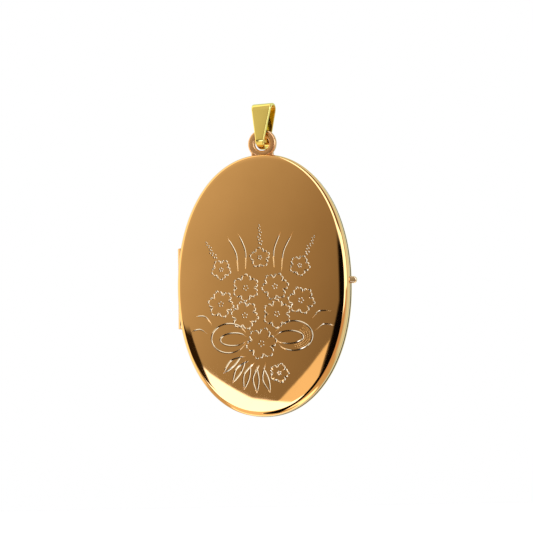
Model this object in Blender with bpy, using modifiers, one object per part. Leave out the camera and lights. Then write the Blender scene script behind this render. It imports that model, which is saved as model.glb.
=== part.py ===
"""An engraved oval locket: two pressed cover halves on a side hinge, a snap rim, photograph frames
and windows inside, a soldered hanger ring and a loose strap bail.

Metres, +Z up. The face looks along -Y and the back along +Y. The origin is in the bail's eye,
where a chain passes, and the locket hangs below it.
"""

import math

import bmesh
import bpy
from mathutils import Matrix, Vector

MM = 0.001

# The oval body, measured from the point on its own middle line where the two halves meet.
HALF_WIDTH = 13.4 * MM
HALF_HEIGHT = 20.0 * MM
SQUARENESS = 2.11  # exponent of the outline: 2 is a plain ellipse
BODY_DROP = 26.6 * MM  # from the chain down to the middle of the oval
PARALLEL_BAND = 3.2 * MM  # inside the locket, outlines this near the edge run parallel to it

# Front cover: straight wall, rounded shoulder, shallow dome.
FRONT_SHOULDER = 0.71 * MM
FRONT_EDGE_DEPTH = 1.62 * MM
FRONT_DOME_RISE = 0.88 * MM
FRONT_DOME_POWER = 2.6
# Rear cover: the same, with a flat middle.
REAR_SHOULDER = 0.80 * MM
REAR_EDGE_DEPTH = 1.60 * MM
REAR_DOME_RISE = 0.55 * MM
REAR_FLAT_RADIUS = 10.0 * MM
REAR_DOME_POWER = 2.2

WALL = 0.45 * MM  # side wall of a cover
INNER_CORNER_WIDTH = 0.30 * MM  # the inside corner between the wall and the face
INNER_CORNER_DEPTH = 0.25 * MM
SHEET = 0.40 * MM  # sheet over its face
SEAM = 0.03 * MM  # each half stops this far from the meeting plane
SOLDER_GAP = 0.03 * MM  # hairline between pieces that are soldered or pressed together

# Rims, photograph frames, windows and cards. An inset is measured inwards from the outline.
RIM_INSET = WALL + SOLDER_GAP
FRONT_RIM_INNER = 0.95 * MM
LIP_OUTER = 1.00 * MM
LIP_INNER = 1.35 * MM
LIP_HEIGHT = 0.45 * MM  # how far the snap lip stands into the front half
LEDGE_INNER = 2.00 * MM
FRAME_OUTER = LIP_INNER + 0.06 * MM
FRAME_INNER = 2.70 * MM
FRONT_STEP = 0.50 * MM  # depth at which the front frame starts, past the lip
REAR_STEP = 0.10 * MM
FRAME_SHEET = 0.20 * MM
WINDOW_SHEET = 0.12 * MM
CARD_SHEET = 0.10 * MM
LAYER_GAP = 0.03 * MM
LEDGE_SHEET = 0.16 * MM
RIM_SHOULDER_DEPTH = 0.90 * MM  # the front rim turns in from here to its ledge
RIM_SHOULDER_INSET = 0.25 * MM
LIP_CHAMFER = 0.10 * MM

# Side hinge.
HINGE_INSET = 0.41 * MM  # axis inside the oval's edge
BARREL_RADIUS = 0.60 * MM
PIN_RADIUS = 0.26 * MM
PIN_CLEARANCE = 0.04 * MM
KNUCKLE_COUNT = 5
KNUCKLE_LENGTH = 2.45 * MM
KNUCKLE_GAP = 0.05 * MM
PIN_OVERHANG = 0.06 * MM
OWN_SEAT_CLEARANCE = 0.03 * MM  # a knuckle against the half it is soldered to
OTHER_SEAT_CLEARANCE = 0.09 * MM  # a knuckle against the half that turns past it
NOTCH_DEPTH = 0.70 * MM  # how far the walls are cut back from the meeting plane along the barrel
NOTCH_REACH = 0.08 * MM  # how far the notch goes inwards past the hinge axis
NOTCH_SPARE = 0.02 * MM  # the notch is this much longer than the seat

# Thumb tab on the front half, opposite the hinge.
TAB_REACH = 1.05 * MM
TAB_HEIGHT = 1.05 * MM
TAB_THICKNESS = 0.62 * MM
TAB_DEPTH = 0.50 * MM  # its middle, forward of the meeting plane

# Hanger ring on the rear half, in a plane parallel to the face.
RING_MIDDLE = 1.685 * MM
RING_BAND = 1.13 * MM
RING_THICKNESS = 0.80 * MM
RING_CORNER = 0.37 * MM
RING_DEPTH = 0.42 * MM  # its middle, behind the meeting plane
RING_RAISE = 22.0 * MM  # its centre above the oval's
RING_FOOT_WIDTH = 3.5 * MM
RING_FOOT_HEIGHT = 1.2 * MM
RING_FOOT_THICKNESS = 0.66 * MM
RING_FOOT_DROP = 1.15 * MM  # its top edge, below the ring's centre
RING_FOOT_SHIFT = 0.02 * MM  # a little further back than the ring, so that no faces coincide

# Strap bail: a closed loop seen from the side, tapering to a narrow tip inside the ring.
BAIL_SHEET = 0.38 * MM
BAIL_TOP_RADIUS = 1.00 * MM  # middle of the sheet
BAIL_TIP_RADIUS = 1.22 * MM
BAIL_TOP_RAISE = 27.03 * MM
BAIL_TIP_RAISE = 22.48 * MM
BAIL_TOP_WIDTH = 3.15 * MM  # at the top bend's centre; it widens a little more above
BAIL_TIP_WIDTH = 1.50 * MM
BAIL_END_WIDTH = 0.90 * MM  # where the tip turns under
BAIL_YAW = math.radians(-10)
BAIL_LEAN = math.radians(2.2)  # towards the tab, about the tip
BAIL_SHIFT = 0.10 * MM

OVAL_STEPS = 72
ROUND_STEPS = 24
SHOULDER_STEPS = 4
EDGE_SLOPE = math.radians(9)  # a face already leans this much where its shoulder starts

BODY_CENTRE = Vector((0, -RING_DEPTH, -BODY_DROP))
HINGE_X = HINGE_INSET - HALF_WIDTH


# ---------------------------------------------------------------- scene and materials


def clear_scene():
    for obj in list(bpy.data.objects):
        bpy.data.objects.remove(obj, do_unlink=True)


def new_collection(name):
    collection = bpy.data.collections.new(name)
    bpy.context.scene.collection.children.link(collection)
    return collection


def new_material(name, colour, roughness, metallic, alpha=1.0):
    material = bpy.data.materials.new(name)
    material.use_nodes = True
    shader = material.node_tree.nodes["Principled BSDF"]
    shader.inputs["Base Color"].default_value = (*colour, 1)
    shader.inputs["Roughness"].default_value = roughness
    shader.inputs["Metallic"].default_value = metallic
    shader.inputs["Alpha"].default_value = alpha
    return material


def rose_gold(name):
    return new_material(name, (0.62, 0.33, 0.13), 0.12, 1.0)


def yellow_gold():
    return new_material("yellow_gold_bail", (0.66, 0.48, 0.13), 0.18, 1.0)


def clear_acetate(name):
    return new_material(name, (0.92, 0.95, 0.96), 0.05, 0.0, 0.25)


def blank_paper(name):
    return new_material(name, (0.82, 0.78, 0.70), 0.8, 0.0)


# ---------------------------------------------------------------- shape helpers


def place_object(name, mesh, material, centre=BODY_CENTRE):
    """A finished part, placed with its own origin at centre."""
    obj = bpy.data.objects.new(name, mesh)
    mesh.materials.append(material)
    mesh.shade_smooth()
    mesh.set_sharp_from_angle(angle=math.radians(35))
    parts.objects.link(obj)
    obj.location = centre
    return obj


def place_cutter(name, mesh, centre=BODY_CENTRE):
    obj = bpy.data.objects.new(name, mesh)
    cutters.objects.link(obj)
    obj.location = centre
    obj.hide_render = True
    obj.display_type = "WIRE"
    return obj


def mesh_from(shape, name):
    bmesh.ops.recalc_face_normals(shape, faces=shape.faces)
    mesh = bpy.data.meshes.new(name)
    shape.to_mesh(mesh)
    shape.free()
    return mesh


def spun(profile, axis, steps, is_loop):
    """A bmesh turned from profile points about axis; is_loop closes the profile on itself."""
    shape = bmesh.new()
    points = [shape.verts.new(point) for point in profile]
    pairs = list(zip(points, points[1:]))
    if is_loop:
        pairs.append((points[-1], points[0]))
    edges = [shape.edges.new(pair) for pair in pairs]
    bmesh.ops.spin(
        shape, geom=points + edges, cent=(0, 0, 0), axis=axis, angle=math.tau, steps=steps, use_merge=True
    )
    bmesh.ops.remove_doubles(shape, verts=shape.verts, dist=1e-7)
    return shape


def narrower(radius, band):
    """Half-width of the oval of half-height radius: parallel to the edge in the band, scaled inside it."""
    parallel_until = HALF_HEIGHT - band
    return radius - (HALF_HEIGHT - HALF_WIDTH) * min(1, radius / parallel_until)


def squared(value):
    return math.copysign(abs(value) ** (2 / SQUARENESS), value)


def pressed_oval(profile, is_loop, name, band=PARALLEL_BAND):
    """Turned about Y from (height, y) points, then pressed from round to the locket's oval."""
    shape = spun([(0, y, height) for height, y in profile], (0, 1, 0), OVAL_STEPS, is_loop)
    for vert in shape.verts:
        radius = math.hypot(vert.co.x, vert.co.z)
        if radius > 0:
            vert.co.x = narrower(radius, band) * squared(vert.co.x / radius)
            vert.co.z = radius * squared(vert.co.z / radius)
    return mesh_from(shape, name)


def oval_band(name, outer_inset, inner_inset, near, far):
    """A flat oval ring between two insets and two depths."""
    outer = HALF_HEIGHT - outer_inset
    inner = HALF_HEIGHT - inner_inset
    return pressed_oval([(outer, near), (outer, far), (inner, far), (inner, near)], True, name)


def oval_plate(name, inset, near, far):
    outer = HALF_HEIGHT - inset
    return pressed_oval([(0, near), (outer, near), (outer, far), (0, far)], False, name)


def z_cylinder(name, radius, length):
    shape = bmesh.new()
    bmesh.ops.create_cone(
        shape, cap_ends=True, segments=ROUND_STEPS, radius1=radius, radius2=radius, depth=length
    )
    return mesh_from(shape, name)


def add_boolean(obj, operation, other):
    boolean = obj.modifiers.new(f"{operation.lower()}_{other.name}", "BOOLEAN")
    boolean.operation = operation
    boolean.object = other
    boolean.solver = "EXACT"


def add_bevel(obj, width, segments):
    bevel = obj.modifiers.new("soft_edges", "BEVEL")
    bevel.width = width
    bevel.segments = segments
    bevel.limit_method = "ANGLE"
    bevel.angle_limit = math.radians(40)


# ---------------------------------------------------------------- cover outlines


def front_depth(height):
    """Forward depth of the face where the oval's half-height is height."""
    edge = HALF_HEIGHT - FRONT_SHOULDER
    return FRONT_EDGE_DEPTH + FRONT_DOME_RISE * (1 - (height / edge) ** FRONT_DOME_POWER)


def rear_depth(height):
    edge = HALF_HEIGHT - REAR_SHOULDER
    share = max(0, height - REAR_FLAT_RADIUS) / (edge - REAR_FLAT_RADIUS)
    return REAR_EDGE_DEPTH + REAR_DOME_RISE * (1 - share**REAR_DOME_POWER)


def cover_profile(depth_at, shoulder, heights):
    """(height, depth) points: outside from the middle to the seam, then inside back to the middle."""
    edge = HALF_HEIGHT - shoulder
    outside = [(height, depth_at(height)) for height in heights]
    edge_depth = depth_at(edge)
    first = math.pi / 2 - EDGE_SLOPE
    radius = shoulder / (1 - math.cos(first))
    for step in range(SHOULDER_STEPS + 1):
        turn = first * (1 - step / SHOULDER_STEPS)
        height = edge + radius * (math.cos(turn) - math.cos(first))
        outside.append((height, edge_depth - radius * (math.sin(first) - math.sin(turn))))
    outside.append((HALF_HEIGHT, SEAM))
    wall = HALF_HEIGHT - WALL
    inner_corner = edge_depth - SHEET - INNER_CORNER_DEPTH
    inside = [(wall, SEAM), (wall, inner_corner), (wall - INNER_CORNER_WIDTH, edge_depth - SHEET)]
    inside += [(height, depth_at(height) - SHEET) for height in reversed(heights) if height < wall - MM]
    return outside + inside


def covers_clearance():
    """Both covers' outside, grown by a solder gap: what stands on the body is cut back by this."""
    outer = HALF_HEIGHT + SOLDER_GAP
    profile = [
        (0, -FRONT_EDGE_DEPTH),
        (outer - FRONT_SHOULDER, -FRONT_EDGE_DEPTH),
        (outer, -FRONT_EDGE_DEPTH + FRONT_SHOULDER),
        (outer, REAR_EDGE_DEPTH - REAR_SHOULDER),
        (outer - REAR_SHOULDER, REAR_EDGE_DEPTH),
        (0, REAR_EDGE_DEPTH),
    ]
    return place_cutter("covers_clearance", pressed_oval(profile, False, "covers_clearance"))


# ---------------------------------------------------------------- hinge


def knuckle_middle(index):
    pitch = KNUCKLE_LENGTH + KNUCKLE_GAP
    return pitch * (index - (KNUCKLE_COUNT - 1) / 2)


def is_front_knuckle(index):
    return index % 2 == 1


def barrel_seat_length():
    return KNUCKLE_COUNT * (KNUCKLE_LENGTH + KNUCKLE_GAP) + 4 * PIN_OVERHANG


def wall_notch():
    """A straight notch through both walls along the barrel, which lets the halves turn apart."""
    shape = bmesh.new()
    bmesh.ops.create_cube(shape, size=1)
    width = 2 * BARREL_RADIUS
    length = barrel_seat_length() + NOTCH_SPARE
    bmesh.ops.scale(shape, verts=shape.verts, vec=(width, 2 * NOTCH_DEPTH, length))
    middle = Vector((HINGE_X - width / 2 + NOTCH_REACH, 0, 0))
    return place_cutter("wall_notch", mesh_from(shape, "wall_notch"), BODY_CENTRE + middle)


def hinge_seat_cutters(for_front):
    """Cylinders that cut the hinge's seat in one half: close on its own knuckles, loose elsewhere."""
    full_length = barrel_seat_length()
    side = "front" if for_front else "rear"
    close = z_cylinder(f"{side}_seat", BARREL_RADIUS + OWN_SEAT_CLEARANCE, full_length)
    found = [place_cutter(f"{side}_seat", close, BODY_CENTRE + Vector((HINGE_X, 0, 0)))]
    for index in range(KNUCKLE_COUNT):
        if is_front_knuckle(index) == for_front:
            continue
        name = f"{side}_seat_past_knuckle_{index + 1}"
        loose = z_cylinder(name, BARREL_RADIUS + OTHER_SEAT_CLEARANCE, KNUCKLE_LENGTH + 3 * KNUCKLE_GAP)
        middle = BODY_CENTRE + Vector((HINGE_X, 0, knuckle_middle(index)))
        found.append(place_cutter(name, loose, middle))
    return found


def make_knuckle(index, material):
    """One barrel tube, its own origin on the hinge axis."""
    bore = PIN_RADIUS + PIN_CLEARANCE
    half = KNUCKLE_LENGTH / 2
    profile = [
        (bore, 0, -half),
        (BARREL_RADIUS, 0, -half),
        (BARREL_RADIUS, 0, half),
        (bore, 0, half),
    ]
    side = "front" if is_front_knuckle(index) else "rear"
    name = f"hinge_knuckle_{index + 1}_{side}"
    mesh = mesh_from(spun(profile, (0, 0, 1), ROUND_STEPS, True), name)
    return place_object(name, mesh, material, BODY_CENTRE + Vector((HINGE_X, 0, knuckle_middle(index))))


def make_hinge_pin(material):
    length = KNUCKLE_COUNT * KNUCKLE_LENGTH + (KNUCKLE_COUNT - 1) * KNUCKLE_GAP + 2 * PIN_OVERHANG
    mesh = z_cylinder("hinge_pin", PIN_RADIUS, length)
    return place_object("hinge_pin", mesh, material, BODY_CENTRE + Vector((HINGE_X, 0, 0)))


# ---------------------------------------------------------------- the two halves


def cut_seats(piece, seats):
    for seat in seats:
        add_boolean(piece, "DIFFERENCE", seat)


def face_heights(edge, shares):
    return [edge * share for share in shares]


def make_front_cover(material, seats):
    heights = face_heights(HALF_HEIGHT - FRONT_SHOULDER, (0, 0.25, 0.48, 0.66, 0.80, 0.91))
    profile = [(height, -depth) for height, depth in cover_profile(front_depth, FRONT_SHOULDER, heights)]
    shell = pressed_oval(profile, False, "front_cover", FRONT_SHOULDER)
    cover = place_object("front_cover", shell, material)
    cut_seats(cover, seats)


def make_rear_cover(material, seats):
    edge = HALF_HEIGHT - REAR_SHOULDER
    heights = [0, REAR_FLAT_RADIUS] + face_heights(edge, (0.66, 0.80, 0.91))
    profile = cover_profile(rear_depth, REAR_SHOULDER, heights)
    shell = pressed_oval(profile, False, "rear_cover", REAR_SHOULDER)
    cover = place_object("rear_cover", shell, material)
    cut_seats(cover, seats)


def layer_depths(step):
    """Near and far depth of the frame, window, card and ledge that are stacked from step inwards."""
    depths = []
    near = step
    for sheet in (FRAME_SHEET, WINDOW_SHEET, CARD_SHEET, LEDGE_SHEET):
        depths.append((near, near + sheet))
        near += sheet + LAYER_GAP
    return depths


def make_front_rim(material, seats):
    """The front half's inner rim: it clears the snap lip, then steps in to a ledge behind the card."""
    outer, inner = HALF_HEIGHT - RIM_INSET, HALF_HEIGHT - FRONT_RIM_INNER
    landing, ledge = HALF_HEIGHT - LIP_INNER, HALF_HEIGHT - LEDGE_INNER
    ledge_near, ledge_far = layer_depths(FRONT_STEP)[3]
    profile = [
        (outer, -SEAM),
        (outer, -RIM_SHOULDER_DEPTH),
        (outer - RIM_SHOULDER_INSET, -ledge_far),
        (ledge, -ledge_far),
        (ledge, -ledge_near),
        (landing, -ledge_near),
        (landing, -FRONT_STEP),
        (inner, -FRONT_STEP),
        (inner, -SEAM),
    ]
    rim = place_object("front_rim", pressed_oval(profile, True, "front_rim"), material)
    cut_seats(rim, seats)


def make_rear_rim(material, seats):
    """The rear half's inner rim, with the lip that the front half snaps over."""
    outer, lip = HALF_HEIGHT - RIM_INSET, HALF_HEIGHT - LIP_OUTER
    inner, ledge = HALF_HEIGHT - LIP_INNER, HALF_HEIGHT - LEDGE_INNER
    ledge_near, ledge_far = layer_depths(REAR_STEP)[3]
    profile = [
        (outer, SEAM),
        (lip, SEAM),
        (lip, LIP_CHAMFER - LIP_HEIGHT),
        (lip - LIP_CHAMFER, -LIP_HEIGHT),
        (inner, -LIP_HEIGHT),
        (inner, ledge_near),
        (ledge, ledge_near),
        (ledge, ledge_far),
        (outer, ledge_far),
    ]
    rim = place_object("rear_rim", pressed_oval(profile, True, "rear_rim"), material)
    cut_seats(rim, seats)


def make_inside(side, step, forward, metal):
    """Photograph frame, clear window and blank card, stacked between the frame's seat and the ledge."""
    frame_layer, window_layer, card_layer, _ = layer_depths(step)
    name = f"{side}_photo_frame"
    place_object(name, oval_band(name, FRAME_OUTER, FRAME_INNER, *[forward * y for y in frame_layer]), metal)
    name = f"{side}_window"
    acetate = clear_acetate(f"clear_acetate_{side}")
    place_object(name, oval_plate(name, FRAME_OUTER, *[forward * y for y in window_layer]), acetate)
    name = f"{side}_card"
    paper = blank_paper(f"blank_card_{side}")
    place_object(name, oval_plate(name, FRAME_OUTER, *[forward * y for y in card_layer]), paper)


# ---------------------------------------------------------------- tab, ring and bail


def make_thumb_tab(material, clearance):
    """A flat tongue with a round end."""
    shape = bmesh.new()
    bmesh.ops.create_cone(
        shape,
        cap_ends=True,
        segments=ROUND_STEPS,
        radius1=TAB_HEIGHT / 2,
        radius2=TAB_HEIGHT / 2,
        depth=TAB_THICKNESS,
        matrix=Matrix.Rotation(math.pi / 2, 4, "X"),
    )
    for vert in shape.verts:
        if vert.co.x < 0:
            vert.co.x -= TAB_REACH
    tip_middle = Vector((HALF_WIDTH + TAB_REACH - TAB_HEIGHT / 2, -TAB_DEPTH, 0))
    tab = place_object("thumb_tab", mesh_from(shape, "thumb_tab"), material, BODY_CENTRE + tip_middle)
    add_bevel(tab, 0.18 * MM, 2)
    add_boolean(tab, "DIFFERENCE", clearance)
    return tab


def ring_section():
    """Rounded rectangle section of the hanger ring, as (y, height) about the ring's centre."""
    half_band, half_thick = RING_BAND / 2, RING_THICKNESS / 2
    corners = []
    for quarter in range(4):
        middle_turn = math.pi / 4 + quarter * math.pi / 2
        corner_y = math.copysign(half_thick - RING_CORNER, math.cos(middle_turn))
        corner_z = math.copysign(half_band - RING_CORNER, math.sin(middle_turn))
        for step in range(3):
            turn = quarter * math.pi / 2 + step * math.pi / 4
            y = corner_y + RING_CORNER * math.cos(turn)
            corners.append((0, y, RING_MIDDLE + corner_z + RING_CORNER * math.sin(turn)))
    return corners


def make_hanger_ring(material, clearance):
    centre = BODY_CENTRE + Vector((0, RING_DEPTH, RING_RAISE))
    mesh = mesh_from(spun(ring_section(), (0, 1, 0), 36, True), "hanger_ring")
    ring = place_object("hanger_ring", mesh, material, centre)
    foot = bmesh.new()
    bmesh.ops.create_cube(foot, size=1)
    bmesh.ops.scale(
        foot, verts=foot.verts, vec=(RING_FOOT_WIDTH, RING_FOOT_THICKNESS, RING_FOOT_HEIGHT)
    )
    foot_centre = centre + Vector((0, RING_FOOT_SHIFT, -RING_FOOT_DROP - RING_FOOT_HEIGHT / 2))
    foot_cutter = place_cutter("ring_foot", mesh_from(foot, "ring_foot"), foot_centre)
    add_boolean(ring, "UNION", foot_cutter)
    add_boolean(ring, "DIFFERENCE", clearance)
    return ring


def bail_side_path():
    """(y, raise) points round the middle of the loop's sheet, as seen from the side."""
    length = BAIL_TOP_RAISE - BAIL_TIP_RAISE
    lean = math.asin((BAIL_TOP_RADIUS - BAIL_TIP_RADIUS) / length)
    path = []
    for centre_z, radius, start, end, steps in (
        (BAIL_TOP_RAISE, BAIL_TOP_RADIUS, -lean, math.pi + lean, 14),
        (BAIL_TIP_RAISE, BAIL_TIP_RADIUS, math.pi + lean, math.tau - lean, 10),
    ):
        for step in range(steps + 1):
            turn = start + (end - start) * step / steps
            path.append((radius * math.cos(turn), centre_z + radius * math.sin(turn)))
    return path


def bail_width(raised):
    """The strap's width: an even taper down to the tip, whose end is rounded."""
    if raised < BAIL_TIP_RAISE:
        drop = min(1, (BAIL_TIP_RAISE - raised) / BAIL_TIP_RADIUS)
        return BAIL_END_WIDTH + (BAIL_TIP_WIDTH - BAIL_END_WIDTH) * math.sqrt(1 - drop * drop)
    share = (raised - BAIL_TIP_RAISE) / (BAIL_TOP_RAISE - BAIL_TIP_RAISE)
    return BAIL_TIP_WIDTH + (BAIL_TOP_WIDTH - BAIL_TIP_WIDTH) * share


def make_bail(material):
    """A strap bent into a closed loop, with its own origin at the eye that the chain passes."""
    shape = bmesh.new()
    path = bail_side_path()
    rows = []
    for side in (-1, 1):
        rows.append([shape.verts.new((side * bail_width(z) / 2, y, z - BODY_DROP)) for y, z in path])
    edges = []
    for row in rows:
        for first, second in zip(row, row[1:] + row[:1]):
            edges.append(shape.edges.new((first, second)))
    bmesh.ops.bridge_loops(shape, edges=edges)
    turned = Matrix.Rotation(BAIL_LEAN, 4, "Y") @ Matrix.Rotation(BAIL_YAW, 4, "Z")
    tip_drop = BODY_DROP - BAIL_TIP_RAISE
    settled = Matrix.Translation((BAIL_SHIFT + math.sin(BAIL_LEAN) * tip_drop, 0, 0)) @ turned
    bmesh.ops.transform(shape, matrix=settled, verts=shape.verts)
    bail = place_object("bail", mesh_from(shape, "bail"), material, Vector((0, 0, 0)))
    solidify = bail.modifiers.new("sheet", "SOLIDIFY")
    solidify.thickness = BAIL_SHEET
    solidify.offset = 0
    solidify.use_even_offset = True
    return bail


# ---------------------------------------------------------------- assembly

clear_scene()
parts = new_collection("locket")
cutters = new_collection("locket_cutters")
cutters.hide_render = True

rose = rose_gold("rose_gold_covers")
rose_inner = rose_gold("rose_gold_rims")
rose_hinge = rose_gold("rose_gold_hinge")
rose_ring = rose_gold("rose_gold_ring")

body_clearance = covers_clearance()
notch = wall_notch()
front_seats = [notch] + hinge_seat_cutters(True)
rear_seats = [notch] + hinge_seat_cutters(False)

make_rear_cover(rose, rear_seats)
make_rear_rim(rose_inner, rear_seats)
make_inside("rear", REAR_STEP, 1, rose_inner)
make_hanger_ring(rose_ring, body_clearance)
make_hinge_pin(rose_hinge)
for knuckle in range(KNUCKLE_COUNT):
    make_knuckle(knuckle, rose_hinge)
make_front_cover(rose, front_seats)
make_front_rim(rose_inner, front_seats)
make_inside("front", FRONT_STEP, -1, rose_inner)
make_thumb_tab(rose, body_clearance)
make_bail(yellow_gold())
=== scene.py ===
"""An engraved oval rose gold locket on a yellow gold bail, hung over a pale floor."""

import math

import bmesh
import bpy
import numpy as np
from mathutils import Matrix, Vector
from mathutils.geometry import delaunay_2d_cdt


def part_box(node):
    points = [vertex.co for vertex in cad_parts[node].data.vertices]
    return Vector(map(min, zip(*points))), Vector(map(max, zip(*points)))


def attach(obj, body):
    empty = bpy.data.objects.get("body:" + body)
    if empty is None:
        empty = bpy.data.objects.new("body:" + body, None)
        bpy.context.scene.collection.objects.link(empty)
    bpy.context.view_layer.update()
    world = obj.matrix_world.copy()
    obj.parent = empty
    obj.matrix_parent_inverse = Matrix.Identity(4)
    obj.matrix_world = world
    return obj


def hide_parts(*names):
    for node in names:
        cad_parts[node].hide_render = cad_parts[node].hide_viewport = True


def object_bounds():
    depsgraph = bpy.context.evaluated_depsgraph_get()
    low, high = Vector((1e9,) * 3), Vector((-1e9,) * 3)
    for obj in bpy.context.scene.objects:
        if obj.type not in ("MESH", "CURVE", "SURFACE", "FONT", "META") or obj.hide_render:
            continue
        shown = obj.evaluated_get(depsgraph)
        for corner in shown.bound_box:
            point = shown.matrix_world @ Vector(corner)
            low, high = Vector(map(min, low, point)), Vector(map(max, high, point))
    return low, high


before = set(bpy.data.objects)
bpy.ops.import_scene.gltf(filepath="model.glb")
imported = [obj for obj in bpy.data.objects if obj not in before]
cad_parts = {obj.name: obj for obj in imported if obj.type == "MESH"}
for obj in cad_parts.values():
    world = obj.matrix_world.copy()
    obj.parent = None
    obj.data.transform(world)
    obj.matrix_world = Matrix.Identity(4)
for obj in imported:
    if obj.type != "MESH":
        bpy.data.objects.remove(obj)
cad_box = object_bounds()

MM = 0.001


# ---------------------------------------------------------------- sizes taken from the frame

cover_low, cover_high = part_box("front_cover")
barrel_low, barrel_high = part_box("hinge_knuckle_3_rear")
ring_low, ring_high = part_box("hanger_ring")
pin_low, pin_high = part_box("hinge_pin")
tab_low, tab_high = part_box("thumb_tab")
bail_low, bail_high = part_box("bail")

HALF_WIDTH = (cover_high.x - cover_low.x) / 2
HALF_HEIGHT = (cover_high.z - cover_low.z) / 2
SEAM = 0.03 * MM
SEAM_Y = cover_high.y + SEAM
MIDDLE_Z = (cover_high.z + cover_low.z) / 2
OVAL_CENTRE = Vector((0, SEAM_Y, MIDDLE_Z))
HINGE_AXIS = (barrel_low + barrel_high) / 2
BARREL_RADIUS = (barrel_high.x - barrel_low.x) / 2

SQUARENESS = 2.11
PARALLEL_BAND = 3.2 * MM
FRONT_SHOULDER = 0.71 * MM
FRONT_EDGE_DEPTH = 1.62 * MM
FRONT_DOME_RISE = 0.88 * MM
FRONT_DOME_POWER = 2.6
REAR_SHOULDER = 0.80 * MM
REAR_EDGE_DEPTH = 1.60 * MM
REAR_DOME_RISE = 0.55 * MM
REAR_FLAT_RADIUS = 10.0 * MM
REAR_DOME_POWER = 2.2
WALL = 0.45 * MM
SHEET = 0.40 * MM

OVAL_STEPS = 240
ROUND_STEPS = 48


# ---------------------------------------------------------------- shape helpers


def narrower(radius, band):
    """Half-width of the oval of half-height radius: parallel to the edge in the band, scaled inside it."""
    parallel_until = HALF_HEIGHT - band
    return radius - (HALF_HEIGHT - HALF_WIDTH) * np.minimum(1, radius / parallel_until)


def squared(value):
    return math.copysign(abs(value) ** (2 / SQUARENESS), value)


def oval_point(radius, turn, band):
    return float(narrower(radius, band)) * squared(math.cos(turn)), radius * squared(math.sin(turn))


def face_level(x, z):
    """Half-height of the oval on the front face that passes through each point, by halving."""
    low = np.full(len(x), 1e-6)
    high = np.full(len(x), HALF_HEIGHT * 1.1)
    for _ in range(40):
        middle = (low + high) / 2
        width = narrower(middle, FRONT_SHOULDER)
        outside = np.abs(x / width) ** SQUARENESS + np.abs(z / middle) ** SQUARENESS > 1
        low = np.where(outside, middle, low)
        high = np.where(outside, high, middle)
    return (low + high) / 2


def spun(profile, axis, steps, is_loop):
    shape = bmesh.new()
    points = [shape.verts.new(point) for point in profile]
    pairs = list(zip(points, points[1:]))
    if is_loop:
        pairs.append((points[-1], points[0]))
    edges = [shape.edges.new(pair) for pair in pairs]
    bmesh.ops.spin(
        shape, geom=points + edges, cent=(0, 0, 0), axis=axis, angle=math.tau, steps=steps, use_merge=True
    )
    bmesh.ops.remove_doubles(shape, verts=shape.verts, dist=1e-7)
    return shape


def turned_oval(profile, is_loop, band=PARALLEL_BAND):
    """Turned about Y from (height, y) points, then pressed from round to the locket's oval."""
    shape = spun([(height, y, 0) for height, y in profile], (0, 1, 0), OVAL_STEPS, is_loop)
    for vert in shape.verts:
        radius = math.hypot(vert.co.x, vert.co.z)
        if radius > 0:
            vert.co.x, vert.co.z = oval_point(radius, math.atan2(vert.co.z, vert.co.x), band)
    return shape


def finish_piece(name, shape, materials, sharp=30, centre=OVAL_CENTRE):
    """A bmesh made into a finished object at the origin, with its place in its mesh."""
    bmesh.ops.translate(shape, verts=shape.verts, vec=centre)
    bmesh.ops.recalc_face_normals(shape, faces=shape.faces)
    mesh = bpy.data.meshes.new(name)
    shape.to_mesh(mesh)
    shape.free()
    for material in materials:
        mesh.materials.append(material)
    mesh.shade_smooth()
    mesh.set_sharp_from_angle(angle=math.radians(sharp))
    obj = bpy.data.objects.new(name, mesh)
    bpy.context.scene.collection.objects.link(obj)
    return obj


def cut_away(obj, shapes, sharp=30):
    """Cuts the shapes' volumes out of obj for good."""
    helpers = []
    for shape in shapes:
        helper = finish_piece("cutter", shape, [], centre=(0, 0, 0))
        boolean = obj.modifiers.new("cut", "BOOLEAN")
        boolean.operation = "DIFFERENCE"
        boolean.object = helper
        boolean.solver = "EXACT"
        helpers.append(helper)
    bpy.context.view_layer.update()
    cut = bpy.data.meshes.new_from_object(obj.evaluated_get(bpy.context.evaluated_depsgraph_get()))
    obj.modifiers.clear()
    obj.data = cut
    cut.set_sharp_from_angle(angle=math.radians(sharp))
    for helper in helpers:
        bpy.data.objects.remove(helper, do_unlink=True)


def z_cylinder(radius, length, middle):
    shape = bmesh.new()
    bmesh.ops.create_cone(
        shape, cap_ends=True, segments=ROUND_STEPS, radius1=radius, radius2=radius, depth=length
    )
    bmesh.ops.translate(shape, verts=shape.verts, vec=middle)
    return shape


def block(size, middle):
    shape = bmesh.new()
    bmesh.ops.create_cube(shape, size=1)
    bmesh.ops.scale(shape, verts=shape.verts, vec=size)
    bmesh.ops.translate(shape, verts=shape.verts, vec=middle)
    return shape


def deliver(obj, body, slot, *nodes):
    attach(obj, body)
    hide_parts(*nodes)


# ---------------------------------------------------------------- materials


def add_node(tree, kind, **inputs):
    node = tree.nodes.new(kind)
    for name, value in inputs.items():
        node.inputs[name.replace("_", " ")].default_value = value
    return node


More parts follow.
